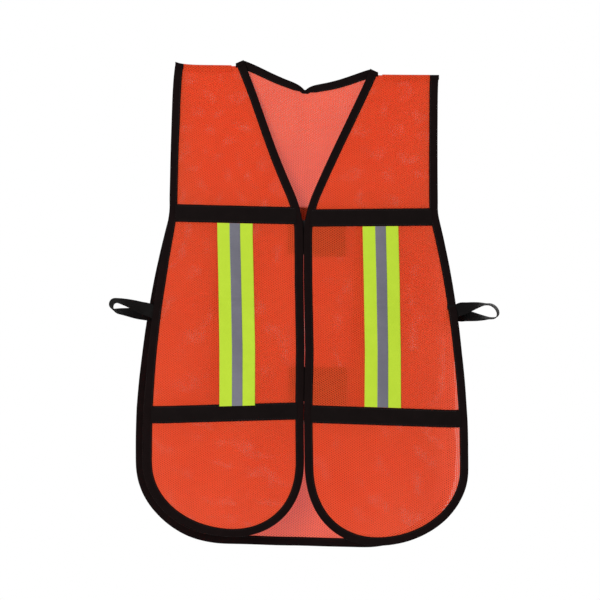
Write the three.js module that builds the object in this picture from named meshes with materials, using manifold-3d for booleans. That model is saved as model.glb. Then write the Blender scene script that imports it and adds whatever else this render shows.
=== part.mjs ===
// High visibility vest: an open-sided safety vest of orange mesh cloth, bound in black tape, with black
// webbing bands, lime and silver tapes, a strap loop at each side and a hook-and-loop closure.
// Millimetres, +Z up. The vest hangs from its shoulders with its front facing -Y, and its front and back
// spread apart towards the hem. The origin is on the shoulder line, midway between the shoulders.
// "left" is the -X side and "right" the +X side.
import * as THREE from "three";
import { mergeVertices } from "three/addons/utils/BufferGeometryUtils.js";
import Module from "manifold-3d";

const wasm = await Module();
wasm.setup();

// Driving dimensions. Heights are along the panel, negative below the shoulder line.
const SHOULDER_HALF = 188.5; // centre to armhole edge, at the shoulder
const CHEST_HALF = 191.3; // centre to edge, where the armhole ends and the side begins
const HEM_HALF = 229.5; // centre to edge, at the widest place
const NECK_HALF = 93; // centre to neck point
const NECK_RISE = 8; // neck points above the shoulder line
const BACK_NECK_DROP = 36.5; // neck points to the middle of the back neck
const BACK_NECK_POWER = 1.2; // how round the back neck's curve is: 1 is a plain V
const SIDE_Z = -205; // end of the armhole
const CORNER_Z = -565; // where the side and the opening start to round into the hem
const HEM_Z = -674;
const HEM_CORNER_X = 100; // where the outer corner of the hem begins
const V_BEND_X = 14; // where the straight side of the V ends
const V_BEND_Z = -172;
const V_END_Z = -235; // where the two fronts run side by side
const V_PULL_Z = -203; // pull of the curve from the V into the opening
const SIDE_PULL_Z = -362; // pull of the side's curve
const CORNER_PULL = new THREE.Vector2(50, -640); // pulls of the front's rounded corner: hem x, opening z
const TILT = THREE.MathUtils.degToRad(2.5); // each panel's lean away from the middle

const CLOTH = 1; // thicknesses
const BINDING = 2.8;
const BINDING_WALL = 0.9;
const WEBBING = 0.8;
const TAPE = 0.7;
const SILVER = 0.4;
const LOOP_PAD = 1.2;
const HOOK_TAB = 1;
const STRAP = 1.2;
const GAP = 0.3; // clearance between pieces that touch

const FAR = 1000; // past everything
const LAP = 5; // a path runs on this far past a level cut

const BINDING_WIDTH = 12;
const BAND_WIDTH = 25;
const CHEST_BAND_Z = -209; // middle of the band
const LOWER_BAND_Z = -492;
const CHEST_BAND_ENDS = [10, 186]; // from the opening, before the band is cut back to the bindings
const LOWER_BAND_ENDS = [6, 222];
const TAPE_WIDTH = 50.8;
const SILVER_WIDTH = 15;
const FRONT_TAPE_X = { left: 95, right: 110 }; // centre of each tape from the opening
const BACK_TAPE_X = 100;
const PAD_SIZE = 50;
const PAD_TOPS = [-215, -428]; // upper and lower closure
const PAD_NEAR_X = 14; // edges of the loop pads, from the opening
const PAD_FAR_X = 60;
const TAB_SEWN = 22; // length of a hook tab on its own front

const FOLD_HEAD = new THREE.Vector2(106, 0); // line that each front folds open along
const FOLD_FOOT = new THREE.Vector2(225.5, -430);

const STRAP_Z = -346;
const STRAP_WIDTH = 20;
const STRAP_ROOT_X = 206; // its ends, inside the bindings
const STRAP_FREE_X = 219; // where it leaves the edge of the vest
const STRAP_CLEARANCE = 1; // room for it to flop beside the bindings
const STRAP_TIP_X = 277;
const STRAP_TIP_RADIUS = 5;

const SEAM_FROM_X = 110;
const SEAM_LEG = 8;
const SEAM_THICKNESS = 0.8;

// Each panel's middle plane stands this far from the middle of the vest at the shoulder line.
const PANEL_OFFSET = BINDING / 2 + 0.5;
const SIDES = { left: -1, right: 1 };

const MATERIALS = {
  mesh: { color: 0xe1482a, roughness: 0.85, metalness: 0 },
  binding: { color: 0x1c1718, roughness: 0.8, metalness: 0 },
  webbing: { color: 0x181112, roughness: 0.75, metalness: 0 },
  lime: { color: 0xbfe038, roughness: 0.55, metalness: 0 },
  silver: { color: 0x73727b, roughness: 0.4, metalness: 0 },
  pad: { color: 0x151213, roughness: 0.95, metalness: 0 },
};

const point = (x, z) => new THREE.Vector2(x, z);

// Where the shoulder's own edge meets the neck binding, which is cut off square to the V.
const SHOULDER_NECK = point(NECK_HALF + 11, 0);

// The same path on the other side of the vest, run the other way so that the cloth stays on its left.
function onSide(path, side) {
  return side === "right" ? path : path.map((p) => point(-p.x, p.y)).reverse();
}

function leftNormal(from, to) {
  const along = to.clone().sub(from).normalize();
  return point(-along.y, along.x);
}

// Moves a path to its left by a distance, with mitred corners.
function offsetPath(path, distance, closed = false) {
  const count = path.length;
  const normals = path.map((here, i) => leftNormal(here, path[(i + 1) % count]));
  return path.map((here, i) => {
    const after = !closed && i === count - 1 ? normals[i - 1] : normals[i];
    const before = !closed && i === 0 ? after : normals[(i + count - 1) % count];
    const mitre = after.clone().add(before).divideScalar(1 + after.dot(before));
    return here.clone().addScaledVector(mitre, distance);
  });
}

// The outline of a strip of the given width along the left of a path.
function stripOutline(path, width) {
  return [...path, ...offsetPath(path, width).reverse()];
}

function solid(geometry) {
  geometry.deleteAttribute("normal");
  geometry.deleteAttribute("uv");
  const merged = mergeVertices(geometry, 1e-4);
  return new wasm.Manifold(
    new wasm.Mesh({
      numProp: 3,
      vertProperties: merged.attributes.position.array,
      triVerts: new Uint32Array(merged.index.array),
    }),
  );
}

// A flat piece with an outline in the panel's plane, from one height above that plane to another. Height
// is counted outward from the cloth's middle, so the panel's inner face is below zero.
function slab(outline, low, high) {
  const options = { depth: high - low, bevelEnabled: false };
  const geometry = new THREE.ExtrudeGeometry(new THREE.Shape(outline), options);
  geometry.translate(0, 0, low).rotateX(Math.PI / 2);
  return solid(geometry);
}

function rectangle(x1, z1, x2, z2) {
  return [point(x1, z1), point(x2, z1), point(x2, z2), point(x1, z2)];
}

function addPiece(group, name, material, piece) {
  const { vertProperties, triVerts } = piece.getMesh();
  const geometry = new THREE.BufferGeometry();
  geometry.setAttribute("position", new THREE.BufferAttribute(vertProperties, 3));
  geometry.setIndex(new THREE.BufferAttribute(triVerts, 1));
  geometry.computeVertexNormals();
  const mesh = new THREE.Mesh(geometry, new THREE.MeshStandardMaterial(MATERIALS[material]));
  mesh.name = name;
  group.add(mesh);
}

// Panels and bindings

function panel(outline) {
  return slab(offsetPath(outline, BINDING_WALL + GAP, true), -CLOTH / 2, CLOTH / 2);
}

// The room that a binding leaves for the cloth it is folded over.
function clothRoom(outline) {
  const half = CLOTH / 2 + GAP;
  return slab(offsetPath(outline, BINDING_WALL, true), -half, half);
}

// Binding along a path, cut off level at a lowest and a highest height.
function binding(path, outline, lowest = -FAR, highest = FAR) {
  const strip = slab(stripOutline(path, BINDING_WIDTH), -BINDING / 2, BINDING / 2);
  return strip
    .subtract(clothRoom(outline))
    .trimByPlane([0, 0, 1], lowest + GAP / 2)
    .trimByPlane([0, 0, -1], GAP / 2 - highest);
}

// The same stretch of edge, as a cutter that keeps bands clear of the binding.
function bindingZone(path) {
  return slab(stripOutline(path, BINDING_WIDTH + GAP), -BINDING, BINDING);
}

// The right side's edges, from the hem's outer corner up to the shoulder.
function sidePath() {
  const low = point(HEM_HALF, CORNER_Z);
  const pull = point(HEM_HALF, SIDE_PULL_Z);
  const curve = new THREE.QuadraticBezierCurve(low, pull, point(CHEST_HALF, SIDE_Z));
  return [...curve.getPoints(7), point(SHOULDER_HALF, 0)];
}

// The hem's right outer corner, a quarter of an ellipse.
function outerCorner() {
  const wide = HEM_HALF - HEM_CORNER_X;
  const deep = CORNER_Z - HEM_Z;
  const curve = new THREE.EllipseCurve(HEM_CORNER_X, CORNER_Z, wide, deep, -Math.PI / 2, 0);
  return curve.getPoints(8);
}

// Runs a path on past its start and its end, up or down, so that its binding can be cut off level.
function runOn(path, atStart, atEnd) {
  const before = atStart ? [point(path[0].x, path[0].y + atStart)] : [];
  const after = atEnd ? [point(path.at(-1).x, path.at(-1).y + atEnd)] : [];
  return [...before, ...path, ...after];
}

// A front's four edges, right side, in order: neck, opening, hem, then side and armhole.
function frontEdges() {
  const edgeX = GAP;
  const top = point(edgeX, V_END_Z);
  const bottom = point(edgeX, CORNER_Z);
  const bend = new THREE.QuadraticBezierCurve(point(V_BEND_X, V_BEND_Z), point(edgeX, V_PULL_Z), top);
  const pulls = [point(edgeX, CORNER_PULL.y), point(CORNER_PULL.x, HEM_Z)];
  const corner = new THREE.CubicBezierCurve(bottom, ...pulls, point(HEM_CORNER_X, HEM_Z));
  return {
    neck: [point(NECK_HALF, NECK_RISE), ...bend.getPoints(5)],
    opening: [top, bottom],
    hem: [...corner.getPoints(8), ...outerCorner().slice(1)],
    side: sidePath(),
  };
}

function frontOutline({ neck, opening, hem, side }) {
  return [...neck, ...opening.slice(1), ...hem.slice(1), ...side.slice(1), SHOULDER_NECK];
}

// The back's edges: neck from right to left, left side, hem, right side.
function backEdges() {
  const steps = 12;
  const neck = Array.from({ length: steps + 1 }, (_, i) => {
    const across = 1 - (2 * i) / steps;
    const dip = Math.pow(1 - Math.abs(across), BACK_NECK_POWER);
    return point(across * NECK_HALF, NECK_RISE - BACK_NECK_DROP * dip);
  });
  return {
    neck,
    left: onSide(sidePath(), "left"),
    hem: [...onSide(outerCorner(), "left"), ...outerCorner()],
    right: sidePath(),
  };
}

function backOutline({ neck, left, hem, right }) {
  const leftNeck = point(-SHOULDER_NECK.x, SHOULDER_NECK.y);
  return [...neck, leftNeck, ...left, ...hem.slice(1), ...right.slice(1), SHOULDER_NECK];
}

// Bands, tapes and closure

const BAND_LOW = CLOTH / 2 + GAP;
const TAPE_HIGH = BAND_LOW + TAPE;

// A band of webbing across the outside of a panel, clear of the bindings at its ends.
function band([fromX, toX], middleZ, edges) {
  const half = BAND_WIDTH / 2;
  const outline = rectangle(fromX, middleZ - half, toX, middleZ + half);
  return edges.reduce(
    (piece, path) => piece.subtract(bindingZone(path)),
    slab(outline, BAND_LOW, BAND_LOW + WEBBING),
  );
}

function addTape(group, name, middleX) {
  const top = CHEST_BAND_Z - BAND_WIDTH / 2 - GAP;
  const bottom = LOWER_BAND_Z + BAND_WIDTH / 2 + GAP;
  const column = (width) => rectangle(middleX - width / 2, bottom, middleX + width / 2, top);
  addPiece(group, `${name}_lime_tape`, "lime", slab(column(TAPE_WIDTH), BAND_LOW, TAPE_HIGH));
  const silver = slab(column(SILVER_WIDTH), TAPE_HIGH + GAP, TAPE_HIGH + GAP + SILVER);
  addPiece(group, `${name}_silver_strip`, "silver", silver);
}

// The pads are on the right front's inner face. The tabs are sewn to the left front and reach behind them.
function addClosure(group) {
  const padHigh = -CLOTH / 2 - GAP;
  const tabHigh = padHigh - LOOP_PAD - GAP;
  PAD_TOPS.forEach((top, i) => {
    const place = ["upper", "lower"][i];
    const bottom = top - PAD_SIZE;
    const pad = rectangle(PAD_NEAR_X, bottom, PAD_FAR_X, top);
    addPiece(group, `loop_pad_${place}`, "pad", slab(pad, padHigh - LOOP_PAD, padHigh));
    const tab = rectangle(-TAB_SEWN, bottom, PAD_FAR_X, top);
    addPiece(group, `hook_tab_${place}`, "pad", slab(tab, tabHigh - HOOK_TAB, tabHigh));
  });
}

// Cuts a front piece along the fold line into the part that stays and the part that opens.
function splitAtFold(piece, side) {
  const normal = leftNormal(FOLD_HEAD, FOLD_FOOT);
  const distance = normal.dot(FOLD_HEAD);
  const x = normal.x * SIDES[side];
  const fixed = piece.trimByPlane([x, 0, normal.y], distance + GAP / 2);
  const opening = piece.trimByPlane([-x, 0, -normal.y], GAP / 2 - distance);
  return { fixed, opening };
}

function addFront(group, side) {
  const sign = SIDES[side];
  const right = frontEdges();
  const outline = onSide(frontOutline(right), side);
  const cloth = splitAtFold(panel(outline), side);
  addPiece(group, `front_yoke_${side}`, "mesh", cloth.fixed);
  addPiece(group, `front_panel_${side}`, "mesh", cloth.opening);

  const neck = onSide(runOn(right.neck, 0, -LAP), side);
  const hem = onSide(runOn(right.hem, LAP, LAP), side);
  const edge = onSide(runOn(right.side, -LAP, 0), side);
  const opening = onSide(right.opening, side);
  addPiece(group, `neck_binding_${side}`, "binding", binding(neck, outline, V_END_Z));
  addPiece(group, `opening_binding_${side}`, "binding", binding(opening, outline, CORNER_Z, V_END_Z));
  addPiece(group, `front_hem_binding_${side}`, "binding", binding(hem, outline, -FAR, CORNER_Z));
  const edgeBinding = splitAtFold(binding(edge, outline, CORNER_Z), side);
  addPiece(group, `armhole_binding_${side}`, "binding", edgeBinding.fixed);
  addPiece(group, `front_side_binding_${side}`, "binding", edgeBinding.opening);

  const bound = [neck, opening, edge];
  const chestEnds = CHEST_BAND_ENDS.map((x) => x * sign);
  const lowerEnds = LOWER_BAND_ENDS.map((x) => x * sign);
  const chest = splitAtFold(band(chestEnds, CHEST_BAND_Z, bound), side);
  addPiece(group, `chest_band_end_${side}`, "webbing", chest.fixed);
  addPiece(group, `chest_band_${side}`, "webbing", chest.opening);
  addPiece(group, `lower_band_${side}`, "webbing", band(lowerEnds, LOWER_BAND_Z, bound));
  addTape(group, `front_${side}`, FRONT_TAPE_X[side] * sign);
}

// The back's group is turned about Z, so its right side is at -X here.
function addBack(group) {
  const edges = backEdges();
  const outline = backOutline(edges);
  addPiece(group, "back_panel", "mesh", panel(outline));
  addPiece(group, "back_neck_binding", "binding", binding(edges.neck, outline));
  const hem = runOn(edges.hem, LAP, LAP);
  addPiece(group, "back_hem_binding", "binding", binding(hem, outline, -FAR, CORNER_Z));
  const bound = [runOn(edges.left, 0, -LAP), runOn(edges.right, -LAP, 0)];
  addPiece(group, "back_side_binding_right", "binding", binding(bound[0], outline, CORNER_Z));
  addPiece(group, "back_side_binding_left", "binding", binding(bound[1], outline, CORNER_Z));
  const across = ([, far]) => [-far, far];
  const chest = band(across(CHEST_BAND_ENDS), CHEST_BAND_Z, bound);
  const lower = band(across(LOWER_BAND_ENDS), LOWER_BAND_Z, bound);
  addPiece(group, "back_chest_band", "webbing", chest);
  addPiece(group, "back_lower_band", "webbing", lower);
  addTape(group, "back_right", -BACK_TAPE_X);
  addTape(group, "back_left", BACK_TAPE_X);
}

// Straps and seams, which join the front to the back

// A side strap: a flat loop whose two ends lie on the inner faces of the front and the back.
function addStrap(group, side) {
  const innerFace = PANEL_OFFSET - BINDING / 2 - STRAP_Z * Math.tan(TILT);
  const rootY = innerFace - STRAP_CLEARANCE - STRAP / 2;
  const tipX = STRAP_TIP_X - STRAP / 2 - STRAP_TIP_RADIUS;
  const tip = new THREE.EllipseCurve(tipX, 0, STRAP_TIP_RADIUS, STRAP_TIP_RADIUS, -Math.PI / 2, Math.PI / 2);
  const middle = [
    point(STRAP_ROOT_X, -rootY),
    point(STRAP_FREE_X, -rootY),
    ...tip.getPoints(8),
    point(STRAP_FREE_X, rootY),
    point(STRAP_ROOT_X, rootY),
  ];
  const outline = [...offsetPath(middle, -STRAP / 2), ...offsetPath(middle, STRAP / 2).reverse()];
  const shape = new THREE.Shape(onSide(outline, side));
  const geometry = new THREE.ExtrudeGeometry(shape, { depth: STRAP_WIDTH, bevelEnabled: false });
  geometry.translate(0, 0, STRAP_Z - STRAP_WIDTH / 2);
  addPiece(group, `side_strap_${side}`, "webbing", solid(geometry));
}

// The shoulder seam: cloth turned over the top edges of the front and the back.
function addShoulderSeam(group, side) {
  const inside = PANEL_OFFSET + CLOTH / 2 + SEAM_LEG * Math.tan(TILT) + GAP;
  const outside = inside + SEAM_THICKNESS;
  const roof = GAP + SEAM_THICKNESS;
  const profile = [
    point(-outside, -SEAM_LEG),
    point(-inside, -SEAM_LEG),
    point(-inside, GAP),
    point(inside, GAP),
    point(inside, -SEAM_LEG),
    point(outside, -SEAM_LEG),
    point(outside, roof),
    point(-outside, roof),
  ];
  const toX = SHOULDER_HALF - BINDING_WIDTH - GAP;
  const options = { depth: toX - SEAM_FROM_X, bevelEnabled: false };
  const geometry = new THREE.ExtrudeGeometry(new THREE.Shape(profile), options);
  const axes = [new THREE.Vector3(0, 1, 0), new THREE.Vector3(0, 0, 1), new THREE.Vector3(1, 0, 0)];
  geometry.applyMatrix4(new THREE.Matrix4().makeBasis(...axes));
  geometry.translate(side === "right" ? SEAM_FROM_X : -toX, 0, 0);
  addPiece(group, `shoulder_seam_${side}`, "mesh", solid(geometry));
}

const vest = new THREE.Group();

const front = new THREE.Group();
front.position.y = -PANEL_OFFSET;
front.rotation.x = -TILT;
Object.keys(SIDES).forEach((side) => addFront(front, side));
addClosure(front);

const back = new THREE.Group();
back.position.y = PANEL_OFFSET;
back.rotation.set(TILT, 0, Math.PI);
addBack(back);

vest.add(front, back);
Object.keys(SIDES).forEach((side) => {
  addStrap(vest, side);
  addShoulderSeam(vest, side);
});

export default vest;
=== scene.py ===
"""The looks of the high visibility vest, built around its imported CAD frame.

Metres, +Z up, front facing -Y. Every piece is cut flat, in its panel's own plane, and drape() then puts it
where the hanging vest holds it. "left" is the -X side and "right" the +X side.
"""

import math

import bmesh
import bpy
import numpy as np
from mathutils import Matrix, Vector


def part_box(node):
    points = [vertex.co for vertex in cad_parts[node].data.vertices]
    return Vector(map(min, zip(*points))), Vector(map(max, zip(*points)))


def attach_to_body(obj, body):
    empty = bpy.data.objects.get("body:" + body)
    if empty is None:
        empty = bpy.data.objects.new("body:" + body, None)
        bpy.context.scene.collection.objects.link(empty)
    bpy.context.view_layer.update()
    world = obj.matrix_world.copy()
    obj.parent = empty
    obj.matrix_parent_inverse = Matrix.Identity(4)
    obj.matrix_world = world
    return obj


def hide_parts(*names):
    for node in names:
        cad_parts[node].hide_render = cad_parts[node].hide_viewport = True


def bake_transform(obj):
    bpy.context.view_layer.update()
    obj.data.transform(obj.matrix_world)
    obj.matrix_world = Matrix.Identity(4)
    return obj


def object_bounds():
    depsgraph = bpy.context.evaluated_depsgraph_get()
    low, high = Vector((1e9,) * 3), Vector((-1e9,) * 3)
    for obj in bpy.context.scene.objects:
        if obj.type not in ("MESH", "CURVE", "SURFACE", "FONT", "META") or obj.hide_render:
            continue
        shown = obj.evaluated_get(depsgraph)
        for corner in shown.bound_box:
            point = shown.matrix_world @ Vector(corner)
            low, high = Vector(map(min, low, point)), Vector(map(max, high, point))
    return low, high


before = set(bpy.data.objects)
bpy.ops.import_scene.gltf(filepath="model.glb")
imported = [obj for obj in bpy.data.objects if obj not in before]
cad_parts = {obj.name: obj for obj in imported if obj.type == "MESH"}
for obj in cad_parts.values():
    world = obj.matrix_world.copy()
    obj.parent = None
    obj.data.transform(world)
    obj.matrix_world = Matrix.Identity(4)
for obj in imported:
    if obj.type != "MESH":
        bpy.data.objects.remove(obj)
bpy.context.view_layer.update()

MM = 0.001
TAU = 2 * math.pi
SIDES = {"left": -1, "right": 1}


# Sizes, from the frame where its boxes give them. Heights are along a panel, negative below the shoulder.


def middle(node):
    low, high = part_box(node)
    return (low + high) / 2


def size(node):
    low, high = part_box(node)
    return high - low


BAND_OUT = 1.2 * MM  # middle of a band's thickness, from the cloth's middle
TILT = math.atan2(
    middle("back_lower_band").y - middle("back_chest_band").y,
    middle("back_chest_band").z - middle("back_lower_band").z,
)
SIN, COS = math.sin(TILT), math.cos(TILT)


def along(height):
    """The height along a panel of a height in the row frame."""
    return height / COS


CHEST_Z = along(middle("back_chest_band").z)
LOWER_Z = along(middle("back_lower_band").z)
BAND_WIDTH = along(size("back_lower_band").z)
PANEL_OFFSET = middle("back_chest_band").y - BAND_OUT * COS + CHEST_Z * SIN

EDGE_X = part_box("opening_binding_right")[0].x
BINDING_WIDTH = size("opening_binding_right").x
V_END_Z = along(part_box("opening_binding_right")[1].z)
CORNER_Z = along(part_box("opening_binding_right")[0].z)
HEM_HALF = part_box("back_side_binding_right")[1].x
HEM_Z = along(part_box("back_hem_binding")[0].z)
SHOULDER_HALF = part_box("shoulder_seam_right")[1].x + BINDING_WIDTH + EDGE_X
NECK_RISE = along(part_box("back_neck_binding")[1].z)
NECK_BINDING_REACH = 11 * MM  # of the neck binding, out past the neck point
NECK_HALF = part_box("neck_binding_right")[1].x - NECK_BINDING_REACH
STRAP_Z = middle("side_strap_right").z
STRAP_WIDTH = size("side_strap_right").z
STRAP_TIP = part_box("side_strap_right")[1].x

# The rest of the outline, which the frame's boxes don't give.
CHEST_HALF = 191.3 * MM
CHEST_CORNER_Z = -205 * MM
HEM_CORNER_X = 100 * MM
SIDE_PULL_Z = -362 * MM
V_BEND = (14 * MM, -172 * MM)
V_PULL_Z = -203 * MM
CORNER_PULL = (50 * MM, -640 * MM)
BACK_NECK_DROP = 36.5 * MM
BACK_NECK_POWER = 1.15
NECK_NOTCH = 10 * MM  # a sharp dip in the middle of the back's neck
NECK_NOTCH_WIDTH = 8 * MM

CLOTH = 0.5 * MM
STEP = 3 * MM  # between a strip's stations
STITCH_PITCH = 3.4 * MM


# How the vest hangs: small shifts in its own plane, and the relief of its folds


def smooth(t):
    t = np.clip(t, 0, 1)
    return t * t * (3 - 2 * t)


# Shifts by height, in mm: height, x at the first edge, the middle and the last edge, z at the first and last
# edge. The edges are the opening and the side of a front, and the left and the right of the back.
SETTLE = {
    "front_left": [
        (-190, -0.8, -4, 0.2, -1, 4),
        (-240, -0.8, -3.5, 2.5, 0, 3.5),
        (-300, -0.8, -2, 2.5, 1.5, 2.5),
        (-400, 0.7, 0, 1.5, 3, 1),
        (-492, -0.5, 0, 1, 5.5, -0.5),
        (-674, 1, 2, 3, 10, 8),
    ],
    "front_right": [
        (-209, -1, -2, -1, -4, -2),
        (-300, -1, 0, 0, -2, -3),
        (-400, 1, 1.5, 1.5, 0, -4),
        (-492, -0.8, 1, 3.5, 1.5, -6),
        (-674, 2, 2, 3, -3.5, -3.5),
    ],
    "back": [
        (-190, 0, 0, 0, 0, 0),
        (-240, -1.5, -1.5, -1.5, 1, -0.5),
        (-330, -5, -5, -5, 4, -2),
        (-492, -12, -12, -12, 9, -5),
        (-674, -13, -13, -13, -4, -13),
    ],
}
SETTLE_REACH = 200 * MM  # the last edge's shift counts in full from here out
SHOULDER_FADE = 200 * MM  # the shoulders' own shift fades out over this height
SHOULDER_ACROSS = 1.2  # mm, of both shoulders to the right
SHOULDER_DROP = 1.8  # mm, of both shoulders
SHOULDER_SLOPE = 7.2  # mm, up on the left and down on the right
SLOPE_REACH = 70 * MM  # from the middle out to most of that slope
NECK_PULL = 5  # mm, of the left shoulder's middle to the right
TOP_LEAN = {"left": 4, "right": 2}  # of the armholes' top ends, in mm
TOP_LIFT = 4.5  # of the left armhole's top corner, in mm
TOP_LEAN_POWER, TOP_LIFT_POWER = 4, 16  # how closely each keeps to the armhole
TOP_FADE = 20 * MM


def shoulder_shift(x):
    """The shoulders hang a little askew, the left one higher, with its neck point pulled in."""
    share = np.clip(np.abs(x) / SHOULDER_HALF, 0, 1)
    across = (SHOULDER_ACROSS + np.where(x < 0, NECK_PULL, 0) * np.sin(math.pi * share) ** 2) * MM
    up = -(SHOULDER_DROP + SHOULDER_SLOPE * np.tanh(x / SLOPE_REACH)) * MM
    return across, up


def top_shift(x, z):
    """The top ends of the armholes lean to the right, and the left one's corner turns up."""
    share = np.clip(np.abs(x) / SHOULDER_HALF, 0, 1)
    fade = np.exp(np.minimum(z, 0) / TOP_FADE) * MM
    across = np.where(x < 0, TOP_LEAN["left"], TOP_LEAN["right"]) * share**TOP_LEAN_POWER * fade
    up = np.where(x < 0, TOP_LIFT, 0) * share**TOP_LIFT_POWER * fade
    return across, up


def settle(panel, x, z):
    """How far a point of a panel has shifted across and up in the panel's plane."""
    rows = np.array(SETTLE[panel])[::-1] * MM
    if panel == "back":
        reach = np.clip(0.5 + 0.5 * x / SETTLE_REACH, 0, 1)
    else:
        side = SIDES[panel.removeprefix("front_")]
        reach = np.clip(side * x / SETTLE_REACH, 0, 1)
    shifts = (np.interp(z, rows[:, 0], column) for column in rows.T[1:])
    x_first, x_middle, x_last, z_first, z_last = shifts
    x_low = (1 - reach) * ((1 - 2 * reach) * x_first + 4 * reach * x_middle)
    x_low = x_low + reach * (2 * reach - 1) * x_last
    z_low = z_first + (z_last - z_first) * reach
    weight = smooth(1 + z / SHOULDER_FADE)
    x_high, z_high = shoulder_shift(x)
    x_top, z_top = top_shift(x, z)
    across = weight * x_high + (1 - weight) * x_low + x_top
    up = weight * z_high + (1 - weight) * z_low + z_top
    return across, up


# Soft upright folds: share of the room behind the panel, wavelength, lean, phase.
FOLDS = {
    "front": [(0.09, 235 * MM, 0.22, 0.18), (0.05, 118 * MM, -0.3, 0.55), (0.02, 61 * MM, 0.5, 0.3)],
    "back": [(0.10, 268 * MM, -0.12, 0.27), (0.05, 131 * MM, 0.35, 0.8), (0.02, 67 * MM, -0.4, 0.1)],
}
CREASE_Z = -334 * MM  # where the fronts were folded for packing
CREASE = 1.6 * MM
CREASE_WIDTH = 4.5 * MM
BACK_CREASE = 4 * MM  # the back's fold down from the middle of the neck
BACK_CREASE_WIDTH = 20 * MM
BACK_CREASE_LENGTH = 260 * MM
BACK_CREASE_LEFT = 0.25  # share of it below that
WRINKLE = 0.3 * MM  # shallow wrinkles across the panels, in patches
WRINKLE_WAVES = [(190 * MM, 27 * MM, 0.0), (83 * MM, -140 * MM, 0.15)]  # lengths along x and z, and phase
RUFFLE = 0.07  # of the sides, as a share of the room behind them
RUFFLE_LENGTH = 74 * MM
RUFFLE_DEPTH = 28 * MM


def creases(panel, x, z):
    """The back's fold stands out, and the fronts' packing crease is pressed in."""
    if panel == "back":
        fade = BACK_CREASE_LEFT + (1 - BACK_CREASE_LEFT) * smooth(1 + z / BACK_CREASE_LENGTH)
        return BACK_CREASE * fade * np.exp(-np.abs(x) / BACK_CREASE_WIDTH)
    return -CREASE * np.exp(-(((z - CREASE_Z) / CREASE_WIDTH) ** 2))


def relief(panel, x, z):
    """How far the cloth stands out from its panel's plane."""
    room = PANEL_OFFSET - z * SIN
    folds = FOLDS["back" if panel == "back" else "front"]
    height = sum(
        share * np.sin(TAU * ((x + lean * z) / length + phase))
        for share, length, lean, phase in folds
    )
    near_edge = np.exp(-np.clip(edge_at(z) - np.abs(x), 0, None) / RUFFLE_DEPTH)
    height = height + RUFFLE * near_edge * np.sin(TAU * z / RUFFLE_LENGTH + np.sign(x))
    wrinkles = math.prod(
        np.sin(TAU * (x / wide + z / deep + phase)) for wide, deep, phase in WRINKLE_WAVES
    )
    return room * height + WRINKLE * wrinkles + creases(panel, x, z)


def drape(panel, x, z, out):
    """The place in the row frame of a point of a panel, out above the middle of its cloth."""
    x, z, out = np.broadcast_arrays(x, z, out)
    across, up = settle(panel, x, z)
    out = out + relief(panel, x, z)
    down = z + up
    facing = 1 if panel == "back" else -1
    y = facing * (out * COS - down * SIN + PANEL_OFFSET)
    return np.stack([x + across, y, out * SIN + down * COS], axis=-1)


# Outlines and paths


def bezier(*points, steps=40):
    t = np.linspace(0, 1, steps)[:, None]
    degree = len(points) - 1
    terms = (
        math.comb(degree, k) * (1 - t) ** (degree - k) * t**k * np.array(p) for k, p in enumerate(points)
    )
    return sum(terms)


def outer_corner(steps=40):
    """The hem's right corner, a quarter of an ellipse."""
    turn = np.linspace(-math.pi / 2, 0, steps)
    wide, deep = HEM_HALF - HEM_CORNER_X, CORNER_Z - HEM_Z
    return np.stack([HEM_CORNER_X + wide * np.cos(turn), CORNER_Z + deep * np.sin(turn)], axis=1)


def side_line():
    """The right side, from the hem's corner up to the shoulder."""
    curve = bezier((HEM_HALF, CORNER_Z), (HEM_HALF, SIDE_PULL_Z), (CHEST_HALF, CHEST_CORNER_Z))
    return np.vstack([curve, [(SHOULDER_HALF, 0)]])


SIDE_EDGE = np.vstack([outer_corner(), side_line()[1:]])


def edge_at(z):
    """Distance from the middle to the vest's side at a height."""
    return np.interp(z, SIDE_EDGE[:, 1], SIDE_EDGE[:, 0])


def front_line():
    """The right front's edge: down the neck and the opening, round the hem and up to the shoulder."""
    v_end, corner = (EDGE_X, V_END_Z), (EDGE_X, CORNER_Z)
    neck = bezier(V_BEND, (EDGE_X, V_PULL_Z), v_end)
    pulls = (EDGE_X, CORNER_PULL[1]), (CORNER_PULL[0], HEM_Z)
    inner = bezier(corner, *pulls, (HEM_CORNER_X, HEM_Z))
    return np.vstack([[(NECK_HALF, NECK_RISE)], neck, inner, SIDE_EDGE[1:]])


def back_line():
    """The back's edge, down its left side, round the hem and up its right side."""
    return np.vstack([SIDE_EDGE[::-1] * (-1, 1), SIDE_EDGE])


def back_neck_line():
    across = np.linspace(1, -1, 61)
    dip = (BACK_NECK_DROP - NECK_NOTCH) * np.sin(math.pi / 2 * (1 - np.abs(across)) ** BACK_NECK_POWER)
    notch = NECK_NOTCH * np.exp(-np.abs(across) * NECK_HALF / NECK_NOTCH_WIDTH)
    return np.stack([across * NECK_HALF, NECK_RISE - dip - notch], axis=1)


def lengths(points):
    """The distance run up to each point of a line."""
    steps = np.linalg.norm(np.diff(points, axis=0), axis=1)
    return np.concatenate([[0], np.cumsum(steps)])


def tangents(points):
    """Unit vectors along a line of points."""
    tangent = np.gradient(points, axis=0)
    return tangent / np.linalg.norm(tangent, axis=1)[:, None]


def resample(points, step):
    run = lengths(points)
    places = np.linspace(0, run[-1], round(run[-1] / step) + 1)
    return np.stack([np.interp(places, run, points[:, k]) for k in range(2)], axis=1)


def soften(points, rounds):
    """Rounds off a path's corners, keeping its ends."""
    points = points.copy()
    for _ in range(rounds):
        points[1:-1] = (points[:-2] + 2 * points[1:-1] + points[2:]) / 4
    return points


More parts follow.
